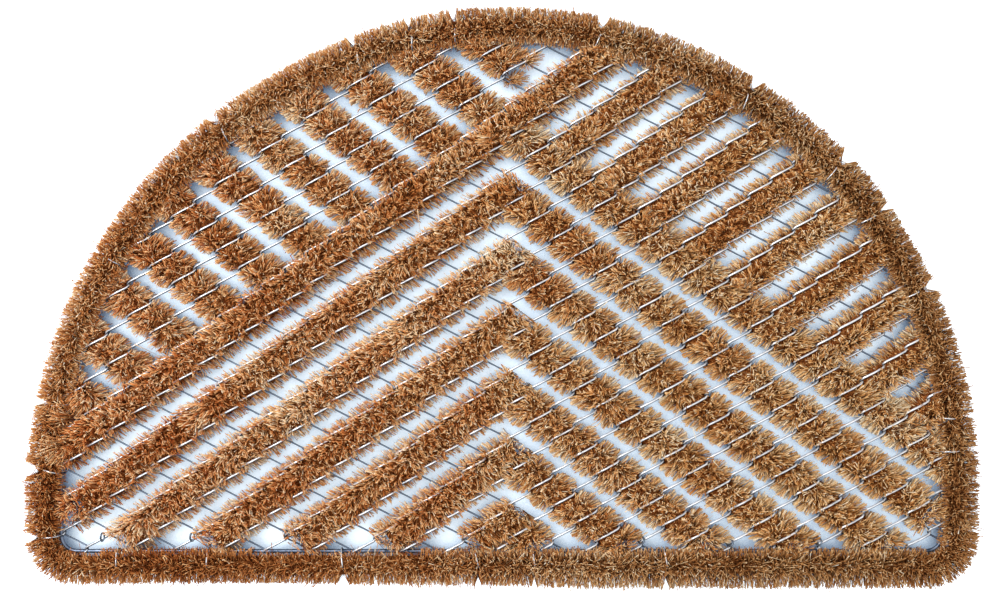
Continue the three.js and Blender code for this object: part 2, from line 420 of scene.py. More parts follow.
def tubeMesh(name, paths, diameter, closed=False, rounding=1, thins=None):
    # a tube along each path, and with thins, a share of the diameter at each of its points
    curve = bpy.data.curves.new(name, "CURVE")
    curve.dimensions = "3D"
    curve.bevel_depth = diameter * mm / 2
    curve.bevel_resolution = rounding
    curve.use_fill_caps = not closed
    for number, path in enumerate(paths):
        spline = curve.splines.new("POLY")
        spline.points.add(len(path) - 1)
        spline.points.foreach_set("co", np.column_stack([path, np.ones(len(path))]).ravel())
        spline.use_cyclic_u = closed
        if thins:
            spline.points.foreach_set("radius", thins[number])
    piece = bpy.data.objects.new(name, curve)
    bpy.context.scene.collection.objects.link(piece)
    deselectAll()
    piece.select_set(True)
    bpy.context.view_layer.objects.active = piece
    bpy.ops.object.convert(target="MESH")
    return bpy.context.view_layer.objects.active


def printTriangles(piece):
    print(piece.name, sum(len(f.vertices) - 2 for f in piece.data.polygons), "triangles")


fibreShape = {
    "width": 0.64,          # mm across at the thicker end
    "widthSpread": 0.4,
    "pointed": 0.3,         # the share of fibres that taper to a point instead of a cut tip
}


def fibrePiece(name, roots, tips, tones, material=coirFibre, slot="coir_rows"):
    # each fibre is a closed sliver, pointed at its root and cut at its tip, or the other way round
    count = len(roots)
    pointed = rng.random(count) < fibreShape["pointed"]
    reach = np.where(pointed[:, None], [1, 0, 0, 0], [0, 1, 1, 1])
    roots, tips = np.where(pointed[:, None], tips, roots), np.where(pointed[:, None], roots, tips)
    along = tips - roots
    along /= np.linalg.norm(along, axis=1)[:, None]
    sideA = np.cross(along, rng.normal(size=(count, 3)))
    sideA /= np.linalg.norm(sideA, axis=1)[:, None]
    sideB = np.cross(along, sideA)
    spread = 1 + fibreShape["widthSpread"] * rng.uniform(-1, 1, count)
    radius = (fibreShape["width"] * mm / 2 * spread)[:, None]
    corners = [roots]
    for corner in range(3):
        angle = corner * 2 * math.pi / 3
        corners.append(tips + (sideA * math.cos(angle) + sideB * math.sin(angle)) * radius)
    faces = np.array([[2, 1, 0], [3, 2, 0], [1, 3, 0], [1, 2, 3]])
    triangles = ((np.arange(count) * 4)[:, None, None] + faces).reshape(-1, 3)
    verts = np.stack(corners, axis=1).reshape(-1, 3)
    attributes = {"tone": np.repeat(tones, 4), "reach": reach.ravel()}
    piece = meshFromArrays(name, verts, triangles, attributes)
    print(name, count, "fibres,", len(piece.data.polygons), "triangles")
    return finishPiece(piece, material)


class Wobble:
    # a smooth random field over the plan, from a few crossing waves of about this length in mm
    def __init__(self, length):
        waves, shortest, longest = 7, 0.6, 1.6
        turn = rng.uniform(0, 2 * math.pi, waves)
        pitch = 2 * math.pi / (length * mm * rng.uniform(shortest, longest, waves))
        self.waves = np.column_stack([np.cos(turn) * pitch, np.sin(turn) * pitch])
        self.phase = rng.uniform(0, 2 * math.pi, waves)

    def at(self, places):
        return np.sin(places @ self.waves.T + self.phase).sum(axis=1) / math.sqrt(len(self.phase) / 2)


# the hearts of the brushes, under their fibres, in place of the imported parts
heartSizes = {
    "width": 22,
    "flatten": 0.36,
    "height": 10,
    "borderWidth": 15,
    "borderFlatten": 0.75,
    "borderStride": 4,      # mm between the rings of the border's heart
    "rowStride": 0.18,      # and of a row's, in cells
    "rowsInto": 10,         # mm that a row's heart runs on into the border
    "lumps": 4.0,
    "roughness": 3.0,
    # where a row's heart stops, in mm short of the row's end
    "openEnd": 9,
    "joinedEnd": -6,        # it runs on into the row that it joins
    "apexEnd": 4,
}


def heartPiece(name, paths, nodes, width, flatten, closed=False):
    heart = tubeMesh(name, paths, width, closed=closed, rounding=2)
    bpy.ops.object.mode_set(mode="EDIT")
    bpy.ops.mesh.select_all(action="SELECT")
    middle = (0, 0, heartSizes["height"] * mm)
    bpy.ops.transform.resize(value=(1, 1, flatten), center_override=middle)
    bpy.ops.object.mode_set(mode="OBJECT")
    lumps = bpy.data.textures.new("brushLumps", "CLOUDS")
    lumps.noise_scale = heartSizes["lumps"] * mm
    rough = heart.modifiers.new("rough", "DISPLACE")
    rough.texture = lumps
    rough.texture_coords = "LOCAL"
    rough.strength = heartSizes["roughness"] * mm
    bpy.ops.object.modifier_apply(modifier="rough")
    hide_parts(*nodes)
    printTriangles(heart)
    return finishPiece(heart, coirBed)


def rowPath(row):
    # the middle of a row, from end to end, kept inside the border
    family, line, start, end, node = row
    sizes, field = heartSizes, node.rsplit("_", 1)[0]
    startKey = "joinedEnd" if field in ("arm_right", "upper_right") else "openEnd"
    endKey = {"upper_left": "joinedEnd", "arm_left": "apexEnd"}.get(field, "openEnd")
    startShort, endShort = (sizes[key] * mm / cellLength for key in (startKey, endKey))
    first, last = max(start, -mostCells) + startShort, min(end, mostCells) - endShort
    cells = np.arange(first, last, sizes["rowStride"])
    lines = np.full(len(cells), line)
    points = cellPoint(cells, lines) if family == "rising" else cellPoint(lines, cells)
    points = points[insetOf(points[:, 0], points[:, 1]) > plan["borderWidth"] - sizes["rowsInto"]]
    return np.column_stack([points, np.full(len(points), sizes["height"] * mm)])


def heartsOf(name, prefixes):
    rows = [row for row in listRows() if row[4].startswith(prefixes)]
    heartPiece(name, [rowPath(row) for row in rows], [row[4] for row in rows],
               heartSizes["width"], heartSizes["flatten"])


def borderHeart():
    sizes = heartSizes
    along = np.arange(0, outlineLength, sizes["borderStride"])
    x, y, _ = outlinePoint(along, plan["borderWidth"] / 2)
    ring = np.column_stack([x, y, np.full(len(x), sizes["height"] * mm)])
    nodes = sorted(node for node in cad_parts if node.startswith("border"))
    heartPiece("heartBorder", [ring], nodes,
               sizes["borderWidth"], sizes["borderFlatten"], closed=True)


heartsOf("heartArms", ("arm",))
heartsOf("heartUpper", ("upper", "crown"))
borderHeart()


# the wire mesh, whose cells the tufts of the rows stand in
meshWireSizes = {
    "drift": 0.022,         # the mesh is stretched along its fall by this much
    "driftFrom": 7.5,       # about this cell
    "columns": 24,          # spirals each side of the crown
    "diameter": 2.05,
    "underRows": 0.66,      # the share of it that the wire has where it runs below
    "overlap": 0.8,         # mm that each spiral reaches past its neighbour
    "halfHeight": 3.6,
    "flatness": 0.6,
    "overGaps": 0.6,        # the strands that cross a gap stand lower than those over a brush
    "pointsAt": (0, 0.08, 0.2, 0.5, 0.8, 0.92),       # along each half turn
}


def wireDrift(fall):
    return meshWireSizes["drift"] * (fall - meshWireSizes["driftFrom"])


# the pile of the rows; sizes in mm, but for the reaches, which are shares of a row's half width
rowPile = {
    # fibres in each cell
    "topFibres": 260,
    "flankFibres": 250,
    "footFibres": 44,
    "wireFibres": 26,       # short ones beside the wires
    "coverFibres": 34,      # longer ones over the lower wire of the left arms
    "sweptShares": (1.3, 0.75),     # of the top and flank ones, on the left arms
    "sweptReach": 1.06,     # how far out their tops begin
    # the top
    "topSpread": 0.4,       # how widely its fibres are rooted, against their tips
    "lengthwise": 1.3,      # and how much more so along a falling row
    "rootHeight": 11,
    "rootScatter": 2,
    "shoulderDrop": 7.0,
    "middleDip": 2.2,
    "trimDepth": 3.5,       # how far the shortest fibres stop below the rest
    "uneven": {"falling": 0.7, "rising": 0.5},      # how unevenly high the tufts stand
    "pillowRim": (2.4, 3, 0.7),     # how sharply a pillow's sides and ends round off, and the ends' share
    "barRim": (4, 0.6),     # the same of a bar's sides
    "dipWidth": 0.3,        # a share of the half width
    # the flanks and feet
    "flankHeights": {"falling": (8, 18), "rising": (7, 15)},
    "footHeights": {"falling": (0.8, 8), "rising": (0.8, 7)},
    "flankReach": (1.1, 1.25),
    "flankRounding": {"falling": 0.18, "rising": 0.14},
    "flankRoots": {"falling": (0.22, 0.5), "rising": (0.3, 0.8)},       # shares, out of the row and along it
    "nearestFlank": (0.2, 0.85),
    "flankRoom": 1.15,      # a bar's two flanks share their fibres by the room that each has up to this
    "footReach": (0.94, 1.18),
    "flankRootHeight": 10.5,
    "flankRootTilt": 0.15,
    "wireHeights": (13, 17),        # of the short fibres' tips beside the wires
    "wireRootHeight": 9,
    "wireFrom": {"falling": 0.8, "rising": 0.85},       # the shares of the way to a wire that they begin at
    "wireTo": 1.04,
    # the fibres over the lower wire
    "coverLower": 0.6,      # the share of them at its strands' lower ends
    "coverPlaces": ((-0.5, -0.18), (0.32, 0.5)),        # in cells, at the lower ends and the upper ones
    "coverBeyond": (0.06, 0.2),     # cells past the wire
    "coverHeights": (17, 19.5),
    "coverRootHeight": 11.5,
    "coverLength": 0.42,    # in cells
    "stray": 0.04,          # the share of flank fibres that reach further still
    "strayReach": 0.2,
    # how widely the rows of each field spread
    "spread": {"arm_left": 1.05, "arm_right": 1.03, "upper_left": 0.98, "upper_right": 1.02, "crown": 1.0},
    # how the fibres lean
    "lean": 3.2,            # clump by clump
    "tuftLean": 2.2,
    "scatter": 2.3,         # fibre by fibre
    "gather": 0.8,          # how far tips draw together into clumps
    "flankLean": 0.4,       # the share of all this that the flanks and feet have
    # where fibres stand, in cells
    "rootLimit": 0.34,      # from a row's middle to its furthest root
    "buried": 0.2,          # how far the fibres reach over the ends of a wire's strands
    "wireClear": 0.05,      # between a wire and the fibres beside it
    "leastShare": {"falling": 0.35, "rising": 0.2},     # a tuft that keeps less of its cell is left out
    "openSpare": 0.05,      # past a row's open end
    "joinSpare": 0.2,       # and into the row that it joins
    "longer": {"arm_left_04": 0.45},        # how far a row reaches on past its open end
    # mm that they reach into the border
    "tuftsInto": 18,
    "tipsInto": 4,
    # tones, from 0 for the darkest to 1 for the palest
    "tone": 0.35,
    "toneSpread": 0.16,
    "toneWave": 0.09,       # clump by clump
    "tuftTone": 0.04,
    "flankTone": 0.1,       # how much paler the flanks are
    "toneEnds": (0.03, 0.98),
    "rowTones": {"arm_left_02": -0.05, "arm_left_04": -0.03, "arm_left_06": 0.1, "arm_right_02": 0.07,
                 "arm_right_10": 0.04, "crown": -0.04, "upper_right_10": -0.05, "upper_right_14": -0.04},
}
leanX, leanY, toneWave = Wobble(9), Wobble(9), Wobble(5)
gatherX, gatherY = Wobble(5), Wobble(5)
toCells = np.linalg.inv(np.array([riseStep, fallStep]))


def tuftCells(row):
    # middles of the tufts along a row, in cells, between the mesh's own wires
    family, line, start, end, node = row
    first, last = max(math.floor(start), -mostCells) - 1, min(math.ceil(end), mostCells) + 1
    if family == "rising":
        return [(rise, line + wireDrift(line)) for rise in range(first, last + 1)]
    return [(line, fall + wireDrift(fall)) for fall in range(first, last + 1)]


def topRoots(count):
    return rowPile["rootHeight"] + rng.uniform(0, rowPile["rootScatter"], count)


def trimmed(count):
    # how far the tips of the top stop short of its even height
    return rng.random(count) ** 2 * rowPile["trimDepth"]


def flankOut(nearest, furthest, count):
    # how far out the tips along a flank stand, a few of them beyond the trimmed edge
    look = rowPile
    out = nearest + (furthest - nearest) * rng.random(count) ** 0.5
    return out + np.where(rng.random(count) < look["stray"], rng.uniform(0, look["strayReach"], count), 0)


def flankRoots(up):
    return rowPile["flankRootHeight"] + (up - heartSizes["height"]) * rowPile["flankRootTilt"]


def flanksAndFeet(family, flank, foot):
    # number of fibres, lowest and highest tip, and reach, of the flanks and then of the feet
    look = rowPile
    return ((flank, *look["flankHeights"][family], look["flankReach"]),
            (foot, *look["footHeights"][family], look["footReach"]))


def pillowTuft(rise, fall, spread):
    # a falling row's tuft: a pillow between two wires, fanned out over the gaps beside it
    look = rowPile
    top, flank, foot = look["topFibres"], look["flankFibres"], look["footFibres"]
    half = 0.5 - look["wireClear"]
    a, b = rng.uniform(-1, 1, (2, top))
    corner = 4      # 2 is an ellipse, and more is squarer
    beyond = (np.abs(a) ** corner + np.abs(b) ** corner) ** (1 / corner)
    a, b = a / np.maximum(beyond, 1), b / np.maximum(beyond, 1)
    sideRim, endRim, endShare = look["pillowRim"]
    rim = np.maximum(np.abs(a) ** sideRim, endShare * np.abs(b) ** endRim)
    up = plan["pileHeight"] - abs(rng.normal(0, look["uneven"]["falling"])) - look["shoulderDrop"] * rim
    up = up - trimmed(top)
    inwards = look["topSpread"]
    rootFall = fall + b * half * inwards * look["lengthwise"]
    parts = [(rise + a * rowReach, fall + b * half, up, rise + a * rowReach * inwards, rootFall,
              topRoots(top))]
    outRoot, alongRoot = look["flankRoots"]["falling"]
    for count, lowest, highest, reach in flanksAndFeet("falling", flank, foot):
        side = rng.choice([-1.0, 1.0], count)
        b = rng.uniform(-0.98, 0.98, count)
        rounded = 1 - look["flankRounding"]["falling"] * np.abs(b) ** 3
        a = side * rounded * flankOut(*reach, count) * spread
        up = rng.uniform(lowest, highest, count)
        parts.append((rise + a * rowReach, fall + b * half, up,
                      rise + a * rowReach * outRoot, fall + b * half * alongRoot, flankRoots(up)))
    count = look["wireFibres"]
    a, up = rng.uniform(-1, 1, count) * rowReach, rng.uniform(*look["wireHeights"], count)
    b = rng.uniform(look["wireFrom"]["falling"], look["wireTo"], count) * rng.choice([-half, half], count)
    rootUp = np.full(count, look["wireRootHeight"])
    parts.append((rise + a * 0.95, fall + b, up, rise + a * 0.7, fall + b * 0.9, rootUp))
    return parts


def coverPart(rise, fall):
    # fibres that cover the two ends of each strand of a left arm's lower wire
    look, count = rowPile, rowPile["coverFibres"]
    atLower = rng.random(count) < look["coverLower"]
    lower, upper = look["coverPlaces"]
    a = np.where(atLower, rng.uniform(*lower, count), rng.uniform(*upper, count))
    b, up = 0.5 + rng.uniform(*look["coverBeyond"], count), rng.uniform(*look["coverHeights"], count)
    rootUp = np.full(count, look["coverRootHeight"])
    return rise + a, fall + b, up, rise + a, fall + b - look["coverLength"], rootUp


def barTuft(line, rise, fall, swept, spread):
    # a cell of a rising row: an even bar between the wires along its flanks, and a lobe under each wire
    look = rowPile
    top, flank, foot = look["topFibres"], look["flankFibres"], look["footFibres"]
    if swept:
        top, flank = (round(number * share) for number, share in zip((top, flank), look["sweptShares"]))
    clear = look["wireClear"]
    left = max(line - rowReach - fall, -0.5 + clear)
    left = line - rowReach * look["sweptReach"] - fall if swept else left
    right = 0.5 - clear
    a, b = rng.uniform(-1, 1, (2, top))
    # the lower end of each wire is buried in the bar
    over = right + look["buried"] * np.clip(np.where(a < 0, -2.2 * a - 0.4, 2 * a - 1.2), 0, 1)
    middle, half = (left + over) / 2, (over - left) / 2
    sideRim, sideShare = look["barRim"]
    up = plan["pileHeight"] - abs(rng.normal(0, look["uneven"]["rising"]))
    up = up - look["shoulderDrop"] * sideShare * np.abs(b) ** sideRim
    up = up - look["middleDip"] * np.exp(-(b / look["dipWidth"]) ** 2) - trimmed(top)
    across = fall + middle + b * half
    rootAcross = fall + middle + b * half * look["topSpread"]
    parts = [(rise + a * 0.5, across, up, rise + a * 0.5, rootAcross, topRoots(top))]
    # how far each flank already is from the row's own middle, and its share of the fibres
    offsets = (line - fall - left, fall + right - line)
    within = [np.clip(offset / rowReach, *look["nearestFlank"]) for offset in offsets]
    leftRoom, rightRoom = (look["flankRoom"] - share for share in within)
    leftShare = leftRoom / (leftRoom + rightRoom)
    outRoot, alongRoot = look["flankRoots"]["rising"]
    for count, lowest, highest, reach in flanksAndFeet("rising", flank, foot):
        side = np.where(rng.random(count) < leftShare, -1.0, 1.0)
        a = rng.uniform(-1, 1, count)
        nearest = np.minimum(np.where(side < 0, *within), reach[0])
        rounded = 1 - look["flankRounding"]["rising"] * np.abs(a) ** 3
        out = side * rounded * flankOut(nearest, reach[1], count)
        up = rng.uniform(lowest, highest, count)
        out = out * rowReach * spread
        parts.append((rise + a * 0.5, line + out, up, rise + a * 0.5 * alongRoot, line + out * outRoot,
                      flankRoots(up)))
    count = look["wireFibres"]
    a, b = rng.uniform(-0.5, 0.5, count), rng.uniform(look["wireFrom"]["rising"], look["wireTo"], count)
    up = rng.uniform(*look["wireHeights"], count)
    side = np.where(rng.random(count) < (0 if swept else 0.5), -1, 1)
    b = (left + right) / 2 + b * (right - left) / 2 * side
    rootUp = np.full(count, look["wireRootHeight"])
    parts.append((rise + a, fall + b, up, rise + a, fall + b * 0.92, rootUp))
    return parts + [coverPart(rise, fall)] if swept else parts


def leanOf(plans, tuftLean):
    look = rowPile
    lean = np.column_stack([leanX.at(plans), leanY.at(plans)]) * look["lean"] * mm
    lean += tuftLean + rng.normal(0, look["scatter"] * mm, lean.shape)
    return lean @ toCells


def rowFibres(row):
    look = rowPile
    family, line, start, end, node = row
    field = node.rsplit("_", 1)[0]
    swept = field == "arm_left"         # the tops of these rows lie over their upper wire
    longer = look["longer"].get(node, 0)
    lowest = start - longer - (look["openSpare"] if swept else look["joinSpare"])
    highest = end + (look["openSpare"] if field in ("arm_left", "arm_right", "crown") else look["joinSpare"])
    roots, tips, tones = [], [], []
    for rise, fall in tuftCells(row):
        here = cellPoint(np.array([rise]), np.array([fall]))
        middle = rise if family == "rising" else fall
        share = min(end, middle + 0.5) - max(start - longer, middle - 0.5)
        outside = insetOf(here[:, 0], here[:, 1])[0] < plan["borderWidth"] - look["tuftsInto"]
        if share < look["leastShare"][family] or outside:
            continue
        tuftTone = look["tone"] + look["rowTones"].get(node, 0) + rng.normal(0, look["tuftTone"])
        tuftLean = rng.normal(0, look["tuftLean"] * mm, 2)
        if family == "rising":
            parts = barTuft(line, rise, fall, swept, look["spread"][field])
        else:
            parts = pillowTuft(rise, fall, look["spread"][field])
        for part, (tipRise, tipFall, tipUp, rootRise, rootFall, rootUp) in enumerate(parts):
            along = tipRise if family == "rising" else tipFall
            keep = (along > lowest) & (along < highest)
            plans = cellPoint(tipRise, tipFall)
            gather = np.column_stack([gatherX.at(plans), gatherY.at(plans)]) * look["gather"] * mm
            tip = np.column_stack([plans + gather, tipUp * mm])[keep]
            lean = leanOf(plans, tuftLean) * (1 if part == 0 else look["flankLean"])
            rootRise, rootFall = rootRise - lean[:, 0], rootFall - lean[:, 1]
            # roots stay within the row
            limit = look["rootLimit"]
            if family == "falling":
                rootRise = np.clip(rootRise, rise - limit, rise + limit)
                rootFall = np.clip(rootFall, lowest, highest)
            else:
                rootFall = np.clip(rootFall, line - limit, line + limit)
                rootRise = np.clip(rootRise, lowest, highest)
            root = np.column_stack([cellPoint(rootRise, rootFall), rootUp * mm])[keep]
            tone = tuftTone + look["toneWave"] * toneWave.at(tip[:, :2])
            tone = tone + rng.normal(0, look["toneSpread"], len(tip))
            tone = tone + (look["flankTone"] if part == 1 else 0)
            tips.append(tip)
            roots.append(root)
            tones.append(np.clip(tone, *look["toneEnds"]))
    roots, tips, tones = map(np.concatenate, (roots, tips, tones))
    inside = insetOf(tips[:, 0], tips[:, 1]) > plan["borderWidth"] - look["tipsInto"]
    return roots[inside], tips[inside], tones[inside]


def pileOf(name, prefixes):
    made = [rowFibres(row) for row in listRows() if row[4].startswith(prefixes)]
    return fibrePiece(name, *(np.concatenate(part) for part in zip(*made)))


pileOf("pileArmsLeftOuter", ("arm_left_02", "arm_left_04", "arm_left_06"))
pileOf("pileArmsLeftInner", ("arm_left_08", "arm_left_1"))
pileOf("pileArmsRightOuter", ("arm_right_02", "arm_right_04", "arm_right_06"))
pileOf("pileArmsRightInner", ("arm_right_08", "arm_right_1"))
pileOf("pileUpperLeft", ("upper_left", "crown"))
pileOf("pileUpperRight", ("upper_right",))


# the pile of the border: a round brush bent round the mat; sizes in mm
borderPile = {
    "fibres": 56500,
    "coverFibres": 9000,    # that lie over the rod
    # the ways that they stand round the brush: 0 is outwards, a half is straight up, 1 is inwards
    "allRound": (-0.28, 1.2),
    # and shares of them that stand closer together, outwards, below that, and along the crest
    "outerFibres": (0.2, -0.2, 0.16),
    "lowerFibres": (0.09, -0.47, -0.2),
    "crestFibres": (0.21, 0.34, 0.66),
    "core": 13.5,           # inset of the brush's core
    "height": 12,
    "outwardReach": 16.2,
    "inwardReach": 15.0,
    "upwardShare": 0.85,
    "upLimits": (-11.4, 11.6),      # so that the brush is flat on the floor and trimmed on top
    "bareShorter": 3.5,     # how much shorter the fibres are that leave the rod bare
    "shortest": 0.15,       # the share that the shortest fibres lack
    "clumpLength": 0.035,
    "lean": 2.3,            # how far tips wander along the edge, clump by clump
    "sway": 3.0,            # and across it
    "scatter": 1.1,
    "crossing": 5.4,        # how far fibres along the top lean each their own way
    "rootSpread": 3.4,      # how widely these are rooted
    "rootReach": 1.2,
    "waves": (8, 5, 7, 12),     # how long the clumps of lean, length, tone and sway are
    "notchOpen": 2.6,       # a notch's width at the outer edge against the tie's gap
    "notchHalf": 0.35,      # half its width at the rod
    "notchPush": 0.55,      # how far fibres stay from its sides, against how near its middle they were
    "notchRoot": 0.6,       # half its width at the fibres' roots
    "coverReach": (23.5, 28.5),
    "coverHeights": (14.5, 18.5),
    "coverRoots": (15, 18),
    "coverRootHeights": (13.5, 17),
    "bareRod": ((-402, -316), (-198, -64), (335, 374)),     # stretches where the rod shows
    # tones
    "tone": 0.19,
    "toneSpread": 0.16,
    "clumpTone": 0.1,
    "darkStretches": ((-250, 150, 0.15), (520, 190, 0.16), (200, 120, 0.05)),     # middle, reach, depth
}


def signedOffset(along, at):
    return np.mod(along - at + outlineLength / 2, outlineLength) - outlineLength / 2


def proudOf(along):
    # how far the brush stands out of the outline, eased from one tie to the next
    ties = np.array(borderTies)
    middles = (ties[:, 0] + np.append(ties[1:, 0], ties[0, 0] + outlineLength)) / 2
    return np.interp(along, middles, ties[:, 2], period=outlineLength)


def isBare(along):
    bare = np.zeros(len(along), bool)
    for first, last in borderPile["bareRod"]:
        bare |= np.abs(signedOffset(along, (first + last) / 2)) < (last - first) / 2
    return bare


def brushAngles(count):
    # the way that each fibre of the brush stands, in half circles
    outer, lower, crest = (borderPile[key] for key in ("outerFibres", "lowerFibres", "crestFibres"))
    kind = rng.random(count)
    outerTurn = rng.uniform(*outer[1:], count)
    angle = np.where(kind < outer[0], outerTurn, rng.uniform(*borderPile["allRound"], count))
    isLower = (kind > outer[0]) & (kind < outer[0] + lower[0])
    angle = np.where(isLower, rng.uniform(*lower[1:], count), angle)
    return np.where(kind > 1 - crest[0], rng.uniform(*crest[1:], count), angle)


def partAtTies(along, tipAlong, tipInset):
    # the ties part the brush, most of all at the outer edge
    look = borderPile
    for at, gap, _ in borderTies:
        offset = signedOffset(tipAlong, at)
        outer = np.clip((look["core"] + 2 - tipInset) / look["core"], 0, 1.1)
        half = look["notchHalf"] + gap / 2 * look["notchOpen"] * outer
        pushed = np.sign(offset) * (half + look["notchPush"] * np.abs(offset))
        tipAlong = np.where(np.abs(offset) < half, at + pushed, tipAlong)
        offset = signedOffset(along, at)
        pushed = np.sign(offset) * (look["notchRoot"] + (1 - look["notchRoot"]) * np.abs(offset))
        along = np.where(np.abs(offset) < 1, at + pushed, along)
    return along, tipAlong


def borderFibres():
    look = borderPile
    core, height, count, cover = look["core"], look["height"], look["fibres"], look["coverFibres"]
    along = rng.uniform(0, outlineLength, count)
    angle = brushAngles(count) * math.pi
    outwards, upwards = np.cos(angle), np.sin(angle)
    clumpPlan = np.column_stack([along * mm, angle * core * mm])
    clumpLean, clumpLength, clumpTone, clumpSway = (Wobble(size).at(clumpPlan) for size in look["waves"])
    length = np.where(outwards > 0, look["outwardReach"] + proudOf(along), look["inwardReach"])
    length = np.where(isBare(along) & (outwards < 0), length - look["bareShorter"], length)
    length = length * (1 - look["shortest"] * rng.random(count) ** 1.6)
    length = length * (1 + look["clumpLength"] * clumpLength)
    aloft = np.clip(upwards, 0, 1) ** 3
    scatter = rng.normal(0, 1, count) * (look["scatter"] + look["crossing"] * aloft)
    tipAlong = along + look["lean"] * clumpLean + scatter
    sway = look["sway"] * clumpSway + look["crossing"] * rng.normal(0, 1, count)
    tipInset = core - outwards * length + sway * aloft
    tipInset = np.maximum(tipInset, core - look["outwardReach"] - proudOf(along))
    tipUp = height + np.clip(upwards * length * look["upwardShare"], *look["upLimits"])
    rootInset = core - outwards * look["rootReach"]
    rootInset = rootInset + rng.normal(0, look["rootSpread"], count) * np.clip(upwards, 0, 1)
    rootUp = height + upwards * look["rootReach"]
    tones = look["tone"] + look["clumpTone"] * clumpTone + rng.normal(0, look["toneSpread"], count)
    # more fibres lie inwards over the rod, but for a few bare stretches
    coverAlong = rng.uniform(0, outlineLength, cover)
    coverAlong = coverAlong[~isBare(coverAlong)]
    cover = len(coverAlong)
    along = np.append(along, coverAlong)
    tipAlong = np.append(tipAlong, coverAlong + rng.normal(0, look["scatter"], cover))
    tipInset = np.append(tipInset, rng.uniform(*look["coverReach"], cover))
    tipUp = np.append(tipUp, rng.uniform(*look["coverHeights"], cover))
    rootInset = np.append(rootInset, rng.uniform(*look["coverRoots"], cover))
    rootUp = np.append(rootUp, rng.uniform(*look["coverRootHeights"], cover))
    tones = np.append(tones, look["tone"] + rng.normal(0, look["toneSpread"], cover))
    for at, reach, depth in look["darkStretches"]:
        tones -= depth * np.exp(-(signedOffset(along, at) / reach) ** 2)
    along, tipAlong = partAtTies(along, tipAlong, tipInset)
    tipX, tipY, _ = outlinePoint(tipAlong, tipInset)
    rootX, rootY, _ = outlinePoint(along, rootInset)
    order = rng.permutation(len(along))
    roots = np.column_stack([rootX, rootY, rootUp * mm])[order]
    tips = np.column_stack([tipX, tipY, tipUp * mm])[order]
    return roots, tips, np.clip(tones, *rowPile["toneEnds"])[order]


def borderPieces(count):
    # the brush is too much for one piece, so its fibres are dealt out
    made = borderFibres()
    each = -(-len(made[0]) // count)
    for part in range(count):
        dealt = (values[part * each:(part + 1) * each] for values in made)
        fibrePiece(f"pileBorder{part + 1}", *dealt, material=borderFibre, slot="coir_border")


borderPieces(3)


# small tufts at the crown, flattened fans, and stray fibres lying on the mat
looseFibres = {
    "tufts": ((0.6, 0.43, 0.58, 0.4, 18), (-0.3, 0.7, 0.52, 0.42, 14)),     # cell, half sizes, height
    "tuftFibres": 260,
    "tuftRoots": (-0.12, -0.08, 9.5),       # from the tuft's middle in cells, and height in mm
    "tuftRootSpread": 0.1,
    "tuftDome": 5,          # mm that a tuft's rim is below its middle
    "tuftTrim": 2.5,
    "tuftTones": (0.38, 0.17),      # middle and spread
    # flattened fans: where they spread from in mm, heading and spread in degrees, length, fibres
    "fans": ((-342, 112, 200, 30, 22, 110), (-338, 131, 165, 18, 19, 60), (-4, 352, 190, 16, 18, 60)),
    "fanRootSpread": 1.5,
    "fanShortest": 0.7,     # against its longest fibre
    "fanHeights": ((14, 18), (19, 24)),     # of roots and tips
    "fanTones": (0.44, 0.14),
    "strays": 44,
    "strayPlaces": 1200,    # tried, over the mat's whole box
    "strayBox": ((-350, 350), (0, 440)),
    "strayInset": 8,
    "strayLength": (12, 32),
    "strayHeights": ((0.0185, 0.0225), (0.0225, 0.0245)),       # of their ends, in metres
    "strayTones": (0.6, 0.12),
}


def towards(angle, reach):
    return np.column_stack([np.cos(angle), np.sin(angle)]) * reach[:, None]


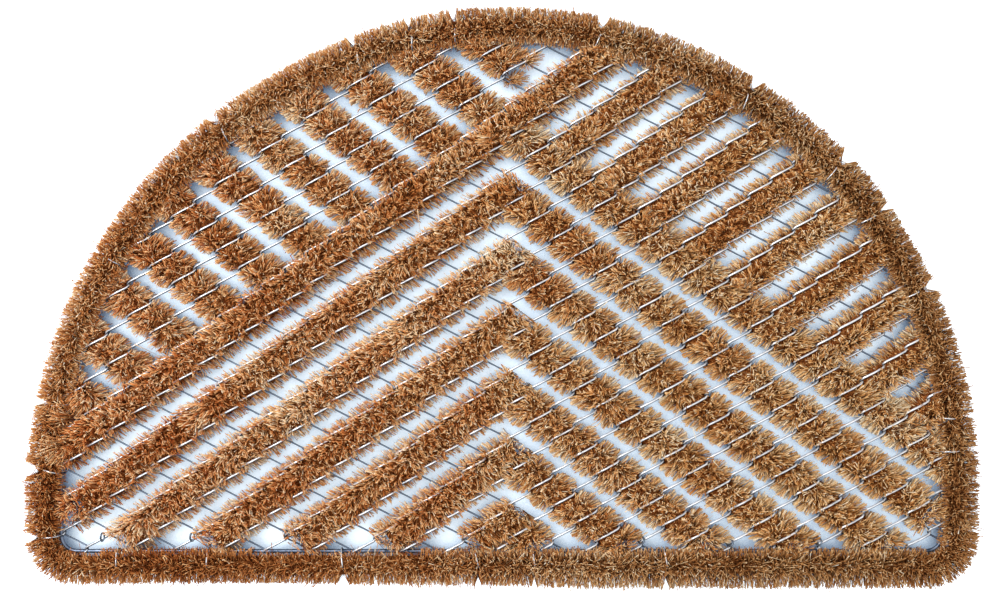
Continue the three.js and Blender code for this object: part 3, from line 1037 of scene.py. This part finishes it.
def looseRoots():
    look = looseFibres
    floorEdge = np.array([0, cadLow.y])
    roots, tips, tones = [], [], []
    count = look["tuftFibres"]
    rootRise, rootFall, rootUp = look["tuftRoots"]
    rootSpread = look["tuftRootSpread"]
    for rise, fall, halfRise, halfFall, top in look["tufts"]:
        angle, out = rng.uniform(0, 2 * math.pi, count), rng.random(count) ** 0.6
        a, b = np.cos(angle) * out, np.sin(angle) * out
        up = top - look["tuftDome"] * out ** 2 - rng.random(count) * look["tuftTrim"]
        tips.append(np.column_stack([cellPoint(rise + a * halfRise, fall + b * halfFall), up * mm]))
        rooted = cellPoint(rise + a * rootSpread + rootRise, fall + b * rootSpread + rootFall)
        roots.append(np.column_stack([rooted, np.full(count, rootUp * mm)]))
        tones.append(rng.normal(*look["tuftTones"], count))
    rootHeights, tipHeights = look["fanHeights"]
    for x, y, heading, spread, length, count in look["fans"]:
        angle = np.radians(heading + rng.normal(0, spread, count))
        reach = length * rng.uniform(look["fanShortest"], 1, count)
        start = np.column_stack([middle + rng.normal(0, look["fanRootSpread"], count) for middle in (x, y)])
        end = start + towards(angle, reach)
        tips.append(np.column_stack([end * mm + floorEdge, rng.uniform(*tipHeights, count) * mm]))
        roots.append(np.column_stack([start * mm + floorEdge, rng.uniform(*rootHeights, count) * mm]))
        tones.append(rng.normal(*look["fanTones"], count))
    # single fibres that have come loose and lie on the brushes
    places = [rng.uniform(*ends, look["strayPlaces"]) for ends in look["strayBox"]]
    spots = np.column_stack(places) * mm + floorEdge
    spots = spots[insetOf(spots[:, 0], spots[:, 1]) > look["strayInset"]][:look["strays"]]
    angle = rng.uniform(0, 2 * math.pi, len(spots))
    reach = rng.uniform(*look["strayLength"], len(spots)) * mm
    rootHeights, tipHeights = look["strayHeights"]
    roots.append(np.column_stack([spots, rng.uniform(*rootHeights, len(spots))]))
    tips.append(np.column_stack([spots + towards(angle, reach), rng.uniform(*tipHeights, len(spots))]))
    tones.append(rng.normal(*look["strayTones"], len(spots)))
    roots, tips, tones = map(np.concatenate, (roots, tips, tones))
    inside = insetOf(tips[:, 0], tips[:, 1]) > -2
    return roots[inside], tips[inside], np.clip(tones, *rowPile["toneEnds"])[inside]


fibrePiece("pileLoose", *looseRoots())


def wirePiece(name, paths, diameter, material, closed=False, rounding=1, thins=None):
    piece = tubeMesh(name, paths, diameter, closed, rounding, thins)
    bpy.ops.object.shade_smooth()
    printTriangles(piece)
    return finishPiece(piece, material)


def overRow(rise, fall):
    # which places of the mesh have a row of brush beneath them
    over = np.zeros(len(rise), bool)
    for family, line, start, end, node in listRows():
        across, along = (fall, rise) if family == "rising" else (rise, fall)
        over |= (np.abs(across - line) < rowReach) & (along > start) & (along < end)
    return over


def meshSpirals():
    # flattened spirals, one to a lattice step, from the bottom border to the top one
    sizes = meshWireSizes
    halfWide = riseStep[0] / 2 + sizes["overlap"] * mm
    firstTurn, lastTurn, fewestPoints = -68, 16, 6
    paths, thins = [], []
    for column in range(-sizes["columns"], sizes["columns"]):
        turns = (np.arange(firstTurn, lastTurn)[:, None] + np.array(sizes["pointsAt"])).ravel() / 2 - 0.25
        fall = column - turns + 0.5
        fall = fall + wireDrift(fall)
        centre = cellPoint(turns, fall)
        phase = 2 * math.pi * turns + math.pi / 2
        x = centre[:, 0] - halfWide * np.cos(phase)
        y = centre[:, 1]
        lift = np.sign(np.sin(phase)) * np.abs(np.sin(phase)) ** sizes["flatness"]
        lower = np.where(overRow(turns, fall), 1, sizes["overGaps"])
        z = (plan["rodHeight"] + sizes["halfHeight"] * lift * lower) * mm
        inside = insetOf(x, y) > plan["rodInset"] - 1.5
        if inside.sum() > fewestPoints:
            first, last = np.flatnonzero(inside)[[0, -1]]
            paths.append(np.column_stack([x, y, z])[first:last + 1])
            thins.append(np.interp(lift, (-1, 0.5), (sizes["underRows"], 1))[first:last + 1])
    return paths, thins


# the rings that the ends of some spirals are curled into, along the flat edge
meshHookSizes = {
    "places": ((-316, 37), (-245, 37), (-170, 39), (-96, 36), (110, 35), (180, 33), (250, 34), (350, 33)),
    "halfWide": 2.3,
    "halfLong": 2.9,
    "height": 15.5,
    "tilt": 3.0,            # how much higher and lower its sides are
    "diameter": 1.5,
    "points": 12,
}


def meshHooks():
    sizes = meshHookSizes
    angle = np.arange(sizes["points"]) * 2 * math.pi / sizes["points"]
    up = sizes["height"] + sizes["tilt"] * np.cos(angle + 0.6)
    paths = []
    for x, y in sizes["places"]:
        ring = [x + sizes["halfWide"] * np.cos(angle), y + sizes["halfLong"] * np.sin(angle), up]
        paths.append(np.column_stack(ring) * mm + [0, cadLow.y, 0])
    return paths


spirals, thins = meshSpirals()
wirePiece("meshWire", spirals, meshWireSizes["diameter"], wireZinc, thins=thins)
wirePiece("meshHooks", meshHooks(), meshHookSizes["diameter"], wireSlate, closed=True)

rodSizes = {"diameter": 3.2, "points": 320}


def rodPath():
    # round the edge, with its two ends butted in the middle of the flat side
    halfGap = plan["rodJointGap"] / 2
    along = np.linspace(halfGap, outlineLength - halfGap, rodSizes["points"])
    x, y, _ = outlinePoint(along, plan["rodInset"])
    return np.column_stack([x, y, np.full(len(x), plan["rodHeight"] * mm)])


frameRod = wirePiece("frameRod", [rodPath()], rodSizes["diameter"], rodZinc, rounding=2)
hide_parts("frame_rod")

tieSizes = {
    "diameter": 1.2,
    "middle": 16,           # the inset that a tie leans about
    "lean": 0.3,            # mm along the edge, either way, for each one across it
    # inset and height of the loop's points, round the rod and over the brush
    "section": ((27.6, 12), (27, 15), (24, 18.5), (19, 20.5), (14.5, 20.5), (12.5, 16), (12, 11),
                (14, 7), (19, 5.5), (24, 7), (27, 9.5)),
}


def tieLoops():
    inset, up = np.array(tieSizes["section"]).T
    paths = []
    for at, _, _ in borderTies:
        lean = rng.uniform(-tieSizes["lean"], tieSizes["lean"])
        x, y, _ = outlinePoint(at + lean * (inset - tieSizes["middle"]), inset)
        paths.append(np.column_stack([x, y, up * mm]))
    return paths


wirePiece("borderTies", tieLoops(), tieSizes["diameter"], wireZinc, closed=True)


# floor, light and camera
stageLook = {
    "floorSize": 8,
    "floorColour": (168, 184, 200),
    "floorRoughness": 0.9,
    "floorGlow": 2.5,
    # painted shade: the glow's colour, from blue painted shadow in shut-in corners between the rows to near
    # white open floor
    "glowAndPaintedShade": ((0.0, (34, 62, 110)), (0.17, (116, 152, 194)), (0.28, (216, 232, 244)),
                 (0.45, (238, 247, 251))),
    "nookReach": 0.04,
    "keyPower": 38,
    "keyPlace": (-1.2, 0.7, 1.7),
    "keySize": 1.2,
    "fillPower": 6,
    "fillPlace": (1.3, -1.0, 1.6),
    "fillSize": 2.0,
    "skyColour": (236, 240, 249),
    "skyStrength": 0.88,
}


def seenRay(nodes, links):
    # 1 on rays that show the background itself, and 0 on those that only light the mat
    rays = nodes.new("ShaderNodeLightPath").outputs
    seen = addMath(nodes, links, "MAXIMUM", rays["Is Camera Ray"], rays["Is Glossy Ray"])
    return addMath(nodes, links, "MAXIMUM", seen, rays["Is Transmission Ray"])


def floorMaterial():
    look = stageLook
    material, nodes, links, shader = newMaterial("paleFloor")
    shader.inputs["Base Color"].default_value = linearColour(look["floorColour"])
    shader.inputs["Roughness"].default_value = look["floorRoughness"]
    # painted shade: the glow fades and turns blue in the corners between the rows, as the room's own light
    # does where the rows shut it out
    nook = nodes.new("ShaderNodeAmbientOcclusion")
    nook.inputs["Distance"].default_value = look["nookReach"]
    glow = nodes.new("ShaderNodeEmission")
    links.new(addRamp(nodes, links, nook.outputs["AO"], look["glowAndPaintedShade"]), glow.inputs["Color"])
    strength = addMath(nodes, links, "MULTIPLY", nook.outputs["AO"], look["floorGlow"])
    strength = addMath(nodes, links, "MULTIPLY", strength, seenRay(nodes, links))
    links.new(strength, glow.inputs["Strength"])
    lit = nodes.new("ShaderNodeAddShader")
    links.new(shader.outputs[0], lit.inputs[0])
    links.new(glow.outputs[0], lit.inputs[1])
    links.new(lit.outputs[0], nodes["Material Output"].inputs["Surface"])
    return material


bpy.ops.mesh.primitive_plane_add(size=stageLook["floorSize"], location=(0, 0, 0))
floor = bpy.context.active_object
floor.name = "floor"
floor.data.materials.append(floorMaterial())


def paleRoom():
    # a pale sky lights the mat, and is seen as white
    world = bpy.data.worlds.new("paleRoom")
    world.use_nodes = True
    nodes, links = world.node_tree.nodes, world.node_tree.links
    sky = nodes["Background"]
    sky.inputs["Color"].default_value = linearColour(stageLook["skyColour"])
    sky.inputs["Strength"].default_value = stageLook["skyStrength"]
    white = nodes.new("ShaderNodeBackground")
    white.inputs["Color"].default_value = (1, 1, 1, 1)
    pick = nodes.new("ShaderNodeMixShader")
    links.new(seenRay(nodes, links), pick.inputs["Fac"])
    links.new(sky.outputs[0], pick.inputs[1])
    links.new(white.outputs[0], pick.inputs[2])
    links.new(pick.outputs[0], nodes["World Output"].inputs["Surface"])
    return world


bpy.context.scene.world = paleRoom()


def addLamp(name, place, size, power):
    lamp = bpy.data.lights.new(name, "AREA")
    lamp.shape = "DISK"
    lamp.size = size
    lamp.energy = power
    holder = bpy.data.objects.new(name, lamp)
    holder.location = place
    holder.rotation_euler = (-Vector(place)).to_track_quat("-Z", "Y").to_euler()
    bpy.context.scene.collection.objects.link(holder)


addLamp("keyLamp", stageLook["keyPlace"], stageLook["keySize"], stageLook["keyPower"])
addLamp("fillLamp", stageLook["fillPlace"], stageLook["fillSize"], stageLook["fillPower"])

# the camera's height, and the width that it sees at the height of the brushes' tops
view = {"height": 0.86, "width": 0.789, "atHeight": 0.018, "centre": (-0.0014, -0.0031)}
cameraData = bpy.data.cameras.new("overhead")
cameraData.lens = cameraData.sensor_width * (view["height"] - view["atHeight"]) / view["width"]
camera = bpy.data.objects.new("overhead", cameraData)
camera.location = (*view["centre"], view["height"])
bpy.context.scene.collection.objects.link(camera)
bpy.context.scene.camera = camera
bpy.context.scene.view_settings.view_transform = "Standard"
print("floor, light and camera set")
